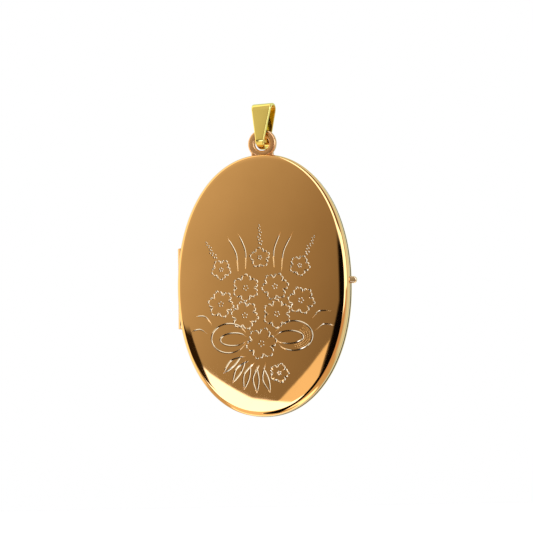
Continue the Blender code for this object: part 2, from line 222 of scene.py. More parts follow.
def polish_group():
    """Hand polish: slow dents in the sheet, fine hairlines and a little haze."""
    tree = bpy.data.node_groups.new("hand_polish", "ShaderNodeTree")
    for name, kind, value in (
        ("Vector", "NodeSocketVector", None),
        ("Ripple", "NodeSocketFloat", 0.3),
        ("Hairlines", "NodeSocketFloat", 0.3),
        ("Haze", "NodeSocketFloat", 0.04),
    ):
        socket = tree.interface.new_socket(name, in_out="INPUT", socket_type=kind)
        if value is not None:
            socket.default_value = value
    for name in ("Height", "Roughness", "Stain"):
        tree.interface.new_socket(name, in_out="OUTPUT", socket_type="NodeSocketFloat")
    source = tree.nodes.new("NodeGroupInput")
    result = tree.nodes.new("NodeGroupOutput")
    link = tree.links.new

    ripple = add_node(tree, "ShaderNodeTexNoise", Scale=160.0, Detail=2.0, Roughness=0.4)
    link(source.outputs["Vector"], ripple.inputs["Vector"])
    ripple_height = tree.nodes.new("ShaderNodeMath")
    ripple_height.operation = "MULTIPLY"
    link(ripple.outputs["Fac"], ripple_height.inputs[0])
    link(source.outputs["Ripple"], ripple_height.inputs[1])

    stretch = add_node(tree, "ShaderNodeMapping", Rotation=(0.3, 0.9, 0.5), Scale=(1.0, 1.0, 24.0))
    link(source.outputs["Vector"], stretch.inputs["Vector"])
    hairline = add_node(tree, "ShaderNodeTexNoise", Scale=900.0, Detail=3.0, Roughness=0.6)
    link(stretch.outputs["Vector"], hairline.inputs["Vector"])
    hairline_height = tree.nodes.new("ShaderNodeMath")
    hairline_height.operation = "MULTIPLY"
    link(hairline.outputs["Fac"], hairline_height.inputs[0])
    link(source.outputs["Hairlines"], hairline_height.inputs[1])
    hairline_small = tree.nodes.new("ShaderNodeMath")
    hairline_small.operation = "MULTIPLY_ADD"
    hairline_small.inputs[1].default_value = 0.02
    link(hairline_height.outputs[0], hairline_small.inputs[0])
    link(ripple_height.outputs[0], hairline_small.inputs[2])
    link(hairline_small.outputs[0], result.inputs["Height"])

    patches = add_node(tree, "ShaderNodeTexNoise", Scale=420.0, Detail=5.0, Roughness=0.65)
    link(source.outputs["Vector"], patches.inputs["Vector"])
    haze = tree.nodes.new("ShaderNodeMapRange")
    haze.inputs["From Min"].default_value = 0.35
    haze.inputs["From Max"].default_value = 0.75
    link(patches.outputs["Fac"], haze.inputs["Value"])
    link(source.outputs["Haze"], haze.inputs["To Min"])
    doubled = tree.nodes.new("ShaderNodeMath")
    doubled.operation = "MULTIPLY"
    doubled.inputs[1].default_value = 2.2
    link(source.outputs["Haze"], doubled.inputs[0])
    link(doubled.outputs[0], haze.inputs["To Max"])
    link(haze.outputs["Result"], result.inputs["Roughness"])

    stain = add_node(tree, "ShaderNodeTexNoise", Scale=110.0, Detail=4.0, Roughness=0.55)
    link(source.outputs["Vector"], stain.inputs["Vector"])
    link(stain.outputs["Fac"], result.inputs["Stain"])
    return tree


def polished_gold(name, light, deep, haze=0.04, ripple=0.3, hairlines=0.3, bump=0.02):
    """A polished alloy: its colour drifts between light and deep, with hand polish over it."""
    material = bpy.data.materials.new(name)
    material.use_nodes = True
    tree = material.node_tree
    link = tree.links.new
    shader = tree.nodes["Principled BSDF"]
    shader.inputs["Metallic"].default_value = 1.0
    place = tree.nodes.new("ShaderNodeTexCoord")
    polish = tree.nodes.new("ShaderNodeGroup")
    polish.node_tree = hand_polish
    polish.inputs["Ripple"].default_value = ripple
    polish.inputs["Hairlines"].default_value = hairlines
    polish.inputs["Haze"].default_value = haze
    link(place.outputs["Object"], polish.inputs["Vector"])
    colour = tree.nodes.new("ShaderNodeValToRGB")
    colour.color_ramp.elements[0].position = 0.35
    colour.color_ramp.elements[0].color = (*deep, 1)
    colour.color_ramp.elements[1].position = 0.65
    colour.color_ramp.elements[1].color = (*light, 1)
    link(polish.outputs["Stain"], colour.inputs["Fac"])
    link(colour.outputs["Color"], shader.inputs["Base Color"])
    link(polish.outputs["Roughness"], shader.inputs["Roughness"])
    relief = add_node(tree, "ShaderNodeBump", Strength=1.0, Distance=bump * MM)
    link(polish.outputs["Height"], relief.inputs["Height"])
    link(relief.outputs["Normal"], shader.inputs["Normal"])
    return material


hand_polish = polish_group()
rose_cover = polished_gold(
    "rose_gold_cover", (0.82, 0.452, 0.166), (0.78, 0.428, 0.154), haze=0.02, ripple=0.1, hairlines=0.2
)
# The cuts' faces are painted: a pale, whiter gold as painted highlight and a dark brown gold as painted
# shade.
cut_painted_highlight = polished_gold("painted_highlight_cut", (0.92, 0.86, 0.76), (0.80, 0.72, 0.60), haze=0.10, ripple=0.6)
rose_shaded = polished_gold("shaded_cut", (0.22, 0.12, 0.05), (0.10, 0.05, 0.02), haze=0.12, ripple=0.6)
# Painted shade: a near-black gold on the rounded edges along the seam between the halves.
seam_painted_shade = polished_gold("seam_painted_shade", (0.05, 0.025, 0.01), (0.03, 0.015, 0.01), haze=0.25)
# Painted highlight: a paler, beiger copy of the cover's rose gold, for the light the tab catches.
tab_painted_highlight = polished_gold("rose_gold_tab_painted_highlight", (0.80, 0.60, 0.38), (0.72, 0.50, 0.30), haze=0.08)
rose_rim = polished_gold("rose_gold_rim", (0.80, 0.47, 0.20), (0.76, 0.43, 0.18), haze=0.12)
rose_hinge = polished_gold("rose_gold_hinge", (0.80, 0.45, 0.19), (0.75, 0.41, 0.16), haze=0.12)
rose_ring = polished_gold(
    "rose_gold_ring", (0.76, 0.42, 0.19), (0.66, 0.34, 0.15), haze=0.16, ripple=0.8, bump=0.03
)
yellow_bail = polished_gold(
    "yellow_gold_bail", (0.82, 0.64, 0.18), (0.77, 0.59, 0.15), haze=0.05, ripple=0.2, hairlines=0.1
)


def clear_sheet(name):
    """Clear acetate with faint smears."""
    material = bpy.data.materials.new(name)
    material.use_nodes = True
    tree = material.node_tree
    link = tree.links.new
    shader = tree.nodes["Principled BSDF"]
    shader.inputs["IOR"].default_value = 1.47
    shader.inputs["Transmission Weight"].default_value = 1.0
    place = tree.nodes.new("ShaderNodeTexCoord")
    smear = add_node(tree, "ShaderNodeTexNoise", Scale=240.0, Detail=3.0, Roughness=0.6)
    link(place.outputs["Object"], smear.inputs["Vector"])
    dull = tree.nodes.new("ShaderNodeMapRange")
    dull.inputs["From Min"].default_value = 0.4
    dull.inputs["From Max"].default_value = 0.8
    dull.inputs["To Min"].default_value = 0.01
    dull.inputs["To Max"].default_value = 0.10
    link(smear.outputs["Fac"], dull.inputs["Value"])
    link(dull.outputs["Result"], shader.inputs["Roughness"])
    tint = tree.nodes.new("ShaderNodeValToRGB")
    tint.color_ramp.elements[0].color = (0.97, 0.98, 0.96, 1)
    tint.color_ramp.elements[1].color = (0.99, 0.99, 0.99, 1)
    link(smear.outputs["Fac"], tint.inputs["Fac"])
    link(tint.outputs["Color"], shader.inputs["Base Color"])
    return material


def plain_card(name):
    """Cream card with a fine grain and a few darker fibres."""
    material = bpy.data.materials.new(name)
    material.use_nodes = True
    tree = material.node_tree
    link = tree.links.new
    shader = tree.nodes["Principled BSDF"]
    shader.inputs["Roughness"].default_value = 0.85
    place = tree.nodes.new("ShaderNodeTexCoord")
    grain = add_node(tree, "ShaderNodeTexNoise", Scale=2600.0, Detail=4.0, Roughness=0.7)
    cloud = add_node(tree, "ShaderNodeTexNoise", Scale=130.0, Detail=3.0, Roughness=0.5)
    link(place.outputs["Object"], grain.inputs["Vector"])
    link(place.outputs["Object"], cloud.inputs["Vector"])
    mixed = tree.nodes.new("ShaderNodeMath")
    mixed.operation = "MULTIPLY_ADD"
    mixed.inputs[1].default_value = 0.45
    link(grain.outputs["Fac"], mixed.inputs[0])
    link(cloud.outputs["Fac"], mixed.inputs[2])
    colour = tree.nodes.new("ShaderNodeValToRGB")
    colour.color_ramp.elements[0].position = 0.45
    colour.color_ramp.elements[0].color = (0.66, 0.60, 0.49, 1)
    colour.color_ramp.elements[1].position = 0.85
    colour.color_ramp.elements[1].color = (0.80, 0.75, 0.64, 1)
    link(mixed.outputs[0], colour.inputs["Fac"])
    link(colour.outputs["Color"], shader.inputs["Base Color"])
    relief = add_node(tree, "ShaderNodeBump", Strength=0.6, Distance=0.01 * MM)
    link(grain.outputs["Fac"], relief.inputs["Height"])
    link(relief.outputs["Normal"], shader.inputs["Normal"])
    return material


acetate = clear_sheet("clear_acetate")
paper = plain_card("blank_card")


# ---------------------------------------------------------------- covers


def front_depth(height):
    edge = HALF_HEIGHT - FRONT_SHOULDER
    return FRONT_EDGE_DEPTH + FRONT_DOME_RISE * (1 - (height / edge) ** FRONT_DOME_POWER)


def rear_depth(height):
    edge = HALF_HEIGHT - REAR_SHOULDER
    share = max(0, height - REAR_FLAT_RADIUS) / (edge - REAR_FLAT_RADIUS)
    return REAR_EDGE_DEPTH + REAR_DOME_RISE * (1 - share**REAR_DOME_POWER)


EDGE_SLOPE = math.radians(9)  # the face already leans this much where the shoulder starts
SEAM_ROUND = 0.27 * MM


def wall_profile(depth_at, shoulder, steps=12):
    """(height, depth) from the face's edge over the shoulder and down the wall to the seam."""
    edge = HALF_HEIGHT - shoulder
    edge_depth = depth_at(edge)
    first = math.pi / 2 - EDGE_SLOPE
    radius = shoulder / (1 - math.cos(first))
    rows = []
    for step in range(steps + 1):
        turn = first * (1 - step / steps)
        height = edge + radius * (math.cos(turn) - math.cos(first))
        rows.append((height, edge_depth - radius * (math.sin(first) - math.sin(turn))))
    rows += [(HALF_HEIGHT, SEAM + SEAM_ROUND), (HALF_HEIGHT - 0.3 * SEAM_ROUND, SEAM + 0.3 * SEAM_ROUND)]
    rows.append((HALF_HEIGHT - SEAM_ROUND, SEAM))
    return rows


def inside_profile(depth_at, shoulder):
    """(height, depth) from the seam up the inside of the wall and under the sheet to the middle."""
    wall = HALF_HEIGHT - WALL
    edge_depth = depth_at(HALF_HEIGHT - shoulder)
    rows = [(wall, SEAM), (wall, edge_depth - SHEET - 0.25 * MM), (wall - 0.30 * MM, edge_depth - SHEET)]
    for share in (0.94, 0.85, 0.72, 0.55, 0.35, 0.15):
        rows.append((HALF_HEIGHT * share, depth_at(HALF_HEIGHT * share) - SHEET))
    rows.append((0, depth_at(0) - SHEET))
    return rows


# ---------------------------------------------------------------- the engraving, in mm on the face

CUT_SPACING = 0.09  # between points along a stroke
CUT_SLOPE = 0.55  # depth of a cut for each unit of its half-width
BRIGHT_DEPTH = 0.045  # the two sides of a cut deeper than this are painted apart: pale gold as painted highlight, dark gold as painted shade
SHADED_LEAN = 0.1  # the side of a cut that leans up and to the tab gets the dark painted shade, the others the pale painted highlight
PETAL_WIDTH = 0.26
SEEDS = 5
SEED_SPREAD = 0.085  # share of a bloom's size
BACKGROUND_SPACING = 0.55
EDGE_RINGS = 6  # rows of points round the face's edge, which keep its reflections even
EDGE_RING_STEP = 0.3 * MM


def smooth_path(points):
    """Points close together on one smooth curve through the given ones."""
    last = len(points) - 1
    path = []
    for index in range(last):
        before, start = points[max(0, index - 1)], points[index]
        end, after = points[index + 1], points[min(last, index + 2)]
        steps = max(2, round(math.dist(start, end) / CUT_SPACING))
        for step in range(steps):
            t = step / steps
            weights = (
                -0.5 * t + t * t - 0.5 * t**3,
                1 - 2.5 * t * t + 1.5 * t**3,
                0.5 * t + 2 * t * t - 1.5 * t**3,
                -0.5 * t * t + 0.5 * t**3,
            )
            four = (before, start, end, after)
            path.append(tuple(sum(w * p[axis] for w, p in zip(weights, four)) for axis in (0, 1)))
    return path + [points[-1]]


def cut(path, width, head=0.25, tail=0.25):
    """A stroke: (x, z, width) along a path, swelling from fine ends to its full width."""
    last = len(path) - 1
    stroke = []
    for index, (x, z) in enumerate(path):
        t = index / last
        swell = min(1, t / head if head else 1, (1 - t) / tail if tail else 1)
        stroke.append((x, z, width * (0.22 + 0.78 * math.sin(swell * math.pi / 2))))
    return stroke


def pit(x, z, width):
    """A small round punch mark, as a very short stroke."""
    return [(x - 0.01, z, width), (x + 0.01, z, width)]


def flower(x, z, size, petals, turn):
    """A scalloped outline cut as short arcs, three to a petal, round a few seed marks."""
    strokes = []
    scallops = 3 * petals
    for scallop in range(scallops):
        path = []
        steps = 7
        for step in range(steps + 1):
            angle = math.tau * (scallop + 0.10 + 0.80 * step / steps) / scallops
            lobe = 0.50 + 0.40 * abs(math.sin(petals * angle / 2)) ** 0.6
            reach = lobe + 0.13 * abs(math.sin(scallops * angle / 2))
            across = size / 2 * reach * math.cos(angle + turn)
            up = size / 2 * reach * math.sin(angle + turn)
            path.append((x + across, z + up))
        strokes.append(cut(smooth_path(path[::2] + path[-1:]), PETAL_WIDTH, 0.4, 0.4))
    for seed in range(SEEDS):
        angle = turn + math.tau * seed / SEEDS
        spread = SEED_SPREAD * size
        strokes.append(pit(x + spread * math.cos(angle), z + spread * math.sin(angle), PETAL_WIDTH))
    return strokes


def sprig(start, end, marks):
    """Pairs of punch marks either side of a line, smaller towards its tip."""
    strokes = []
    along = Vector(end) - Vector(start)
    side = Vector((-along.y, along.x)).normalized()
    for mark in range(marks):
        t = mark / (marks - 1)
        stray = 0.17 * math.sin(5.3 * mark)
        point = Vector(start) + along * t + side * ((0.20 if mark % 2 else -0.20) + stray) * (1 - 0.6 * t)
        strokes.append(pit(point.x, point.y, 0.32 - 0.10 * t))
    return strokes


# The engraving is a plain bunch of flowers that fans out from a knot. Lengths are in millimetres and
# directions in degrees from straight up, + towards the tab.
KNOT_Z = -9.2
KNOT_BLOOM = 4.6
# Each row of blooms: distance from the knot, direction of its outermost ones, how many, size, petals.
BLOOM_ROWS = (
    (5.0, 30, 2, 4.2, 6),
    (8.8, 45, 4, 4.0, 6),
    (13.0, 28, 3, 3.0, 5),
)
LOW_BLOOM = (5.2, 150, 2.8, 5)
SPRIG_SPREAD = 28
SPRIG_REACH = (15.0, 18.0)
SPRIG_MARKS = 14
TALL_BLADES = (-17, -11, 11, 17)
TALL_REACH = (11.6, 17.0)
SIDE_BLADES = (-78, -66, 66, 78)
SIDE_REACH = (8.6, 11.2)
TAIL_REACH = (3.2, 7.4)
TAIL_DIRECTIONS = (-125, -141, -157, -173, 171)
TAIL_EDGES = ((0, 0, 0.8), (0.4, 6, -0.3))  # each edge's late start, turn and sag
BLADE_WIDTH = 0.22
BLADE_SAG = 0.5
RIBBON_WIDTH = 0.24
RIBBON_GAP = 2.2  # from the knot's middle to where a loop of ribbon starts
RIBBON_POINTS = 12
WIDE_LOOP = (5.6, 4.4, 1.0)  # reach, height and lift of a loop
NARROW_LOOP = (4.2, 1.9, 0.8)
STIPPLE_ROWS = 3
STIPPLE_MARKS = 18
STIPPLE_PIT = 0.10


def fanned(distance, degrees):
    """The place at a distance and direction from the knot."""
    turn = math.radians(degrees)
    return distance * math.sin(turn), KNOT_Z + distance * math.cos(turn)


def bowed(start, end, sag):
    """A stroke from start to end that bows to one side by sag."""
    along = Vector(end) - Vector(start)
    aside = Vector((along.y, -along.x)).normalized()
    middle = (Vector(start) + Vector(end)) / 2 + aside * sag
    return smooth_path([start, tuple(middle), end])


def loop_point(side, size, turn):
    """A point of a ribbon's loop; turn 0 is at the knot and 180 at the loop's far end."""
    reach, height, lift = size
    x = side * (RIBBON_GAP + reach / 2 * (1 - math.cos(math.radians(turn))))
    return x, KNOT_Z + lift + height / 2 * math.sin(math.radians(turn))


def ribbon(side, size):
    turns = (25 + 310 * step / RIBBON_POINTS for step in range(RIBBON_POINTS + 1))
    return cut(smooth_path([loop_point(side, size, turn) for turn in turns]), RIBBON_WIDTH, 0.12, 0.3)


def stippled_fold(side):
    """Rows of small pits round the far end of a loop, inside its wide line."""
    strokes = []
    for row in range(STIPPLE_ROWS):
        share = (row + 1) / (STIPPLE_ROWS + 1)
        for mark in range(STIPPLE_MARKS):
            turn = 130 + 130 * (mark + 0.5 * (row % 2)) / STIPPLE_MARKS
            wide = Vector(loop_point(side, WIDE_LOOP, turn))
            x, z = wide.lerp(Vector(loop_point(side, NARROW_LOOP, turn)), share)
            strokes.append(pit(x, z, STIPPLE_PIT))
    return strokes


def all_cuts():
    strokes = flower(0, KNOT_Z, KNOT_BLOOM, 6, 0.7)
    for distance, spread, count, size, petals in BLOOM_ROWS:
        for index in range(count):
            x, z = fanned(distance, spread * (2 * index / (count - 1) - 1))
            strokes += flower(x, z, size, petals, 0.7 * index + 0.3)
    distance, degrees, size, petals = LOW_BLOOM
    strokes += flower(*fanned(distance, degrees), size, petals, 0.6)
    near, far = SPRIG_REACH
    for degrees in (-SPRIG_SPREAD, 0, SPRIG_SPREAD):
        strokes += sprig(fanned(near, degrees), fanned(far, degrees), SPRIG_MARKS)
    for directions, reach, taper in ((TALL_BLADES, TALL_REACH, 0.7), (SIDE_BLADES, SIDE_REACH, 0.6)):
        for degrees in directions:
            sag = math.copysign(BLADE_SAG, degrees)
            path = bowed(fanned(reach[1], degrees), fanned(reach[0], degrees), sag)
            strokes.append(cut(path, BLADE_WIDTH, 0.3, taper))
    near, far = TAIL_REACH
    for degrees in TAIL_DIRECTIONS:
        for lag, aside, sag in TAIL_EDGES:
            path = bowed(fanned(near + lag, degrees + aside), fanned(far, degrees), sag)
            strokes.append(cut(path, RIBBON_WIDTH, 0.2, 0.35))
    for side in (-1, 1):
        strokes.append(ribbon(side, WIDE_LOOP))
        strokes.append(ribbon(side, NARROW_LOOP))
    return strokes + stippled_fold(1)


def cut_depths(points, strokes):
    """Depth in mm of the deepest cut at each point, and which points lie near one."""
    depth = np.zeros(len(points))
    near = np.zeros(len(points), bool)
    for stroke in strokes:
        line = np.array(stroke)
        reach = line[:, 2].max() / 2 + 0.2
        low, high = line[:, :2].min(axis=0) - reach, line[:, :2].max(axis=0) + reach
        chosen = np.nonzero(((points >= low) & (points <= high)).all(axis=1))[0]
        if not len(chosen):
            continue
        start, end = line[:-1, :2], line[1:, :2]
        along = end - start
        length = np.maximum((along**2).sum(axis=1), 1e-12)
        offset = points[chosen, None, :] - start[None]
        t = np.clip((offset * along[None]).sum(axis=2) / length, 0, 1)
        gap = np.linalg.norm(offset - along[None] * t[:, :, None], axis=2)
        width = line[:-1, 2] + (line[1:, 2] - line[:-1, 2]) * t
        here = (width / 2 - gap).max(axis=1)
        depth[chosen] = np.maximum(depth[chosen], CUT_SLOPE * np.maximum(here, 0))
        near[chosen] |= here > -0.15
    return depth, near


def engraved_points(strokes):
    """Mesh points that follow the cuts: each stroke's middle and lips, and an even field between."""
    points, edges = [], []
    for stroke in strokes:
        if len(stroke) == 2:
            x, z, width = stroke[0]
            ring = len(points)
            points.append((x, z))
            for step in range(8):
                angle = math.tau * step / 8
                points.append((x + width / 2 * math.cos(angle), z + width / 2 * math.sin(angle)))
                edges.append((ring + 1 + step, ring + 1 + (step + 1) % 8))
            continue
        rows = []
        for index, (x, z, width) in enumerate(stroke):
            ahead = stroke[min(index + 1, len(stroke) - 1)]
            behind = stroke[max(index - 1, 0)]
            across = Vector((behind[1] - ahead[1], ahead[0] - behind[0])).normalized() * width / 2
            rows.append(((x, z), (x + across.x, z + across.y), (x - across.x, z - across.y)))
        for line in zip(*rows):
            first = len(points)
            points += line
            edges += [(first + step, first + step + 1) for step in range(len(line) - 1)]
    return points, edges


def engraved_face(strokes):
    """The face of the front cover inside its shoulder, as a bmesh with the cuts in it."""
    edge = HALF_HEIGHT - FRONT_SHOULDER
    points, edges = engraved_points(strokes)
    field = []
    columns = round(2 * HALF_WIDTH / MM / BACKGROUND_SPACING)
    rows = round(2 * HALF_HEIGHT / MM / (BACKGROUND_SPACING * 0.866))
    for row in range(rows + 1):
        for column in range(columns + 1):
            x = (column + 0.5 * (row % 2)) * BACKGROUND_SPACING - HALF_WIDTH / MM
            z = row * BACKGROUND_SPACING * 0.866 - HALF_HEIGHT / MM
            field.append((x, z))
    field = np.array(field)
    inside = face_level(field[:, 0] * MM, field[:, 1] * MM) < edge - (EDGE_RINGS + 0.5) * EDGE_RING_STEP
    field = field[inside]
    field = field[~cut_depths(field, strokes)[1]]
    points += [tuple(point) for point in field]
    for ring in range(EDGE_RINGS):
        rim = len(points)
        for step in range(OVAL_STEPS):
            x, z = oval_point(edge - ring * EDGE_RING_STEP, math.tau * step / OVAL_STEPS, FRONT_SHOULDER)
            points.append((x / MM, z / MM))
            edges.append((rim + step, rim + (step + 1) % OVAL_STEPS))
    found, _, faces, _, _, _ = delaunay_2d_cdt([Vector(p) for p in points], edges, [], 0, 0.004, False)
    flat = np.array([tuple(p) for p in found])
    depth, _ = cut_depths(flat, strokes)
    level = np.minimum(face_level(flat[:, 0] * MM, flat[:, 1] * MM), edge)
    forward = front_depth(level) - depth * MM
    shape = bmesh.new()
    verts = [
        shape.verts.new((x * MM, -y, z * MM)) for (x, z), y in zip(flat.tolist(), forward.tolist())
    ]
    for corners in faces:
        face = shape.faces.new([verts[corner] for corner in corners])
        # Painted light: deep cut faces that lean up and to the tab get the painted shade gold, the others
        # the painted highlight gold.
        if sum(depth[corner] for corner in corners) > BRIGHT_DEPTH:
            face.normal_update()
            towards = -math.copysign(1, face.normal.y) * (face.normal.x + face.normal.z)
            face.material_index = 2 if towards > SHADED_LEAN else 1
    return shape


def darken_seam(shape, index):
    """Painted shade in the rounded edge along the seam: its faces get a near-black copy of the gold."""
    for face in shape.faces:
        face.normal_update()
        if abs(face.calc_center_median().y) < 0.95 * SEAM_ROUND and abs(face.normal.y) < 0.95:
            face.material_index = index


def make_front_cover():
    shape = engraved_face(all_cuts())
    rows = wall_profile(front_depth, FRONT_SHOULDER) + inside_profile(front_depth, FRONT_SHOULDER)
    shell = turned_oval([(height, -depth) for height, depth in rows], False, FRONT_SHOULDER)
    joined = bpy.data.meshes.new("shell")
    shell.to_mesh(joined)
    shell.free()
    shape.from_mesh(joined)
    bpy.data.meshes.remove(joined)
    bmesh.ops.remove_doubles(shape, verts=shape.verts, dist=2e-6)
    darken_seam(shape, 3)
    materials = [rose_cover, cut_painted_highlight, rose_shaded, seam_painted_shade]
    cover = finish_piece("front_cover_engraved", shape, materials, sharp=12)
    cut_away(cover, hinge_seat((1, 3, 5)), sharp=12)
    deliver(cover, "front_half", "rose_gold_cover", "front_cover")


def make_rear_cover():
    edge = HALF_HEIGHT - REAR_SHOULDER
    dome = [(0, rear_depth(0)), (REAR_FLAT_RADIUS, rear_depth(REAR_FLAT_RADIUS))]
    for step in range(1, 16):
        height = REAR_FLAT_RADIUS + (edge - REAR_FLAT_RADIUS) * step / 16
        dome.append((height, rear_depth(height)))
    rows = dome + wall_profile(rear_depth, REAR_SHOULDER) + inside_profile(rear_depth, REAR_SHOULDER)
    shell = turned_oval(rows, False, REAR_SHOULDER)
    darken_seam(shell, 1)
    cover = finish_piece("rear_cover_polished", shell, [rose_cover, seam_painted_shade])
    cut_away(cover, hinge_seat((2, 4)))
    deliver(cover, "rear_half", "rose_gold_cover", "rear_cover")


# ---------------------------------------------------------------- rims, frames, windows and cards

RIM_OUTER = HALF_HEIGHT - 0.48 * MM
FRONT_RIM_INNER = HALF_HEIGHT - 0.95 * MM
LIP_OUTER = HALF_HEIGHT - 1.00 * MM
LIP_INNER = HALF_HEIGHT - 1.35 * MM
LEDGE_INNER = HALF_HEIGHT - 2.00 * MM
FRAME_OUTER = HALF_HEIGHT - 1.41 * MM
FRAME_INNER = HALF_HEIGHT - 2.70 * MM
LEDGE_SHEET = 0.16 * MM
FRONT_STEP = 0.50 * MM
SOFT = 0.05 * MM


def make_front_rim():
    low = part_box("front_rim")[0].y - SEAM_Y
    near = low + LEDGE_SHEET
    profile = [
        (RIM_OUTER - SOFT, -SEAM),
        (RIM_OUTER, -SEAM - SOFT),
        (RIM_OUTER, -0.90 * MM),
        (RIM_OUTER - 0.25 * MM, low),
        (LEDGE_INNER + SOFT, low),
        (LEDGE_INNER, low + SOFT),
        (LEDGE_INNER, near),
        (LIP_INNER, near),
        (LIP_INNER, -FRONT_STEP - SOFT),
        (LIP_INNER + SOFT, -FRONT_STEP),
        (FRONT_RIM_INNER, -FRONT_STEP),
        (FRONT_RIM_INNER, -SEAM - SOFT),
        (FRONT_RIM_INNER + SOFT, -SEAM),
    ]
    rim = finish_piece("front_rim_turned", turned_oval(profile, True), [rose_rim])
    cut_away(rim, hinge_seat((1, 3, 5)))
    deliver(rim, "front_half", "rose_gold_rim", "front_rim")


def make_rear_rim():
    """The rim whose lip the front half snaps over."""
    low, high = (corner.y - SEAM_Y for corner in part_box("rear_rim"))
    near = high - LEDGE_SHEET
    profile = [
        (RIM_OUTER, SEAM),
        (LIP_OUTER, SEAM),
        (LIP_OUTER, low + 0.12 * MM),
        (LIP_OUTER - 0.04 * MM, low + 0.04 * MM),
        (LIP_OUTER - 0.12 * MM, low),
        (LIP_INNER + SOFT, low),
        (LIP_INNER, low + SOFT),
        (LIP_INNER, near),
        (LEDGE_INNER, near),
        (LEDGE_INNER, high),
        (RIM_OUTER, high),
    ]
    rim = finish_piece("rear_rim_turned", turned_oval(profile, True), [rose_rim])
    cut_away(rim, hinge_seat((2, 4)))
    deliver(rim, "rear_half", "rose_gold_rim", "rear_rim")


def make_inside(side, opening):
    """Photograph frame, window and card of one half; opening is the way the half opens along Y."""
    low, high = (corner.y - SEAM_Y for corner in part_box(f"{side}_photo_frame"))
    shown, hidden = (high, low) if opening > 0 else (low, high)
    crown = shown - opening * 0.06 * MM
    profile = [
        (FRAME_OUTER, hidden),
        (FRAME_OUTER, crown),
        (FRAME_OUTER - 0.06 * MM, shown),
        (FRAME_INNER + 0.30 * MM, shown),
        (FRAME_INNER + 0.10 * MM, crown),
        (FRAME_INNER, hidden + (shown - hidden) * 0.3),
        (FRAME_INNER, hidden),
    ]
    ring = finish_piece(f"{side}_frame_pressed", turned_oval(profile, True), [rose_rim])
    deliver(ring, f"{side}_half", "rose_gold_rim", f"{side}_photo_frame")
    for layer, material, slot in (("window", acetate, "clear_acetate"), ("card", paper, "blank_card")):
        low, high = (corner.y - SEAM_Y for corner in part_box(f"{side}_{layer}"))
        edge = 0.02 * MM
        profile = [
            (0, low),
            (FRAME_OUTER - edge, low),
            (FRAME_OUTER, low + edge),
            (FRAME_OUTER, high - edge),
            (FRAME_OUTER - edge, high),
            (0, high),
        ]
        sheet = finish_piece(f"{side}_{layer}_sheet", turned_oval(profile, False), [material])
        deliver(sheet, f"{side}_half", slot, f"{side}_{layer}")


# ---------------------------------------------------------------- hinge


def knuckle_box(number):
    side = "rear" if number % 2 else "front"
    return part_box(f"hinge_knuckle_{number}_{side}")


def hinge_seat(others):
    """Shapes cut from a half so that the barrel sits in its edge: a notch and two fits of cylinder."""
    low, high = knuckle_box(1)[0], knuckle_box(5)[1]
    length = high.z - low.z + 0.2 * MM
    width = 2 * BARREL_RADIUS
    notch_middle = HINGE_AXIS + Vector((0.08 * MM - width / 2, 0, 0))
    shapes = [block((width, 1.4 * MM, length + 0.02 * MM), notch_middle)]
    shapes.append(z_cylinder(BARREL_RADIUS + 0.03 * MM, length, HINGE_AXIS))
    for number in others:
        low, high = knuckle_box(number)
        middle = (low + high) / 2
        shapes.append(z_cylinder(BARREL_RADIUS + 0.09 * MM, high.z - low.z + 0.1 * MM, middle))
    return shapes


def soften(shape, width, segments=2, sharper_than=40):
    edges = [
        edge
        for edge in shape.edges
        if len(edge.link_faces) == 2 and edge.calc_face_angle() > math.radians(sharper_than)
    ]
    bmesh.ops.bevel(
        shape, geom=edges, offset=width, segments=segments, profile=0.5, affect="EDGES", material=-1
    )


def make_hinge():
    bore = (pin_high.x - pin_low.x) / 2 + 0.04 * MM
    for number in range(1, 6):
        low, high = knuckle_box(number)
        half = (high.z - low.z) / 2
        section = [(bore, 0, -half), (BARREL_RADIUS, 0, -half), (BARREL_RADIUS, 0, half), (bore, 0, half)]
        shape = spun(section, (0, 0, 1), ROUND_STEPS, True)
        soften(shape, 0.06 * MM)
        side = "rear" if number % 2 else "front"
        middle = (low + high) / 2
        knuckle = finish_piece(f"knuckle_{number}_tube", shape, [rose_hinge], centre=middle)
        deliver(knuckle, f"{side}_half", "rose_gold_hinge", f"hinge_knuckle_{number}_{side}")
    shape = z_cylinder((pin_high.x - pin_low.x) / 2, pin_high.z - pin_low.z, (0, 0, 0))
    soften(shape, 0.10 * MM, 3)
    pin = finish_piece("hinge_pin_wire", shape, [rose_hinge], centre=(pin_low + pin_high) / 2)
    deliver(pin, "rear_half", "rose_gold_hinge", "hinge_pin")


# ---------------------------------------------------------------- ring and bail


RING_BAND = 1.13 * MM
RING_CORNER = 0.34 * MM
FOOT_WIDTH = 3.5 * MM
FOOT_THICKNESS = 0.66 * MM
FOOT_TOP = 1.14 * MM  # its top edge, below the ring's centre
FOOT_HEIGHT = 1.2 * MM


def rounded_flat(half_width, half_height, corner, steps):
    """Points round a flat section with round corners."""
    points = []
    for step in range(steps):
        turn = math.tau * (step + 0.5) / steps
        across = math.copysign(half_width - corner, math.cos(turn)) + corner * math.cos(turn)
        up = math.copysign(half_height - corner, math.sin(turn)) + corner * math.sin(turn)
        points.append((across, up))
    return points


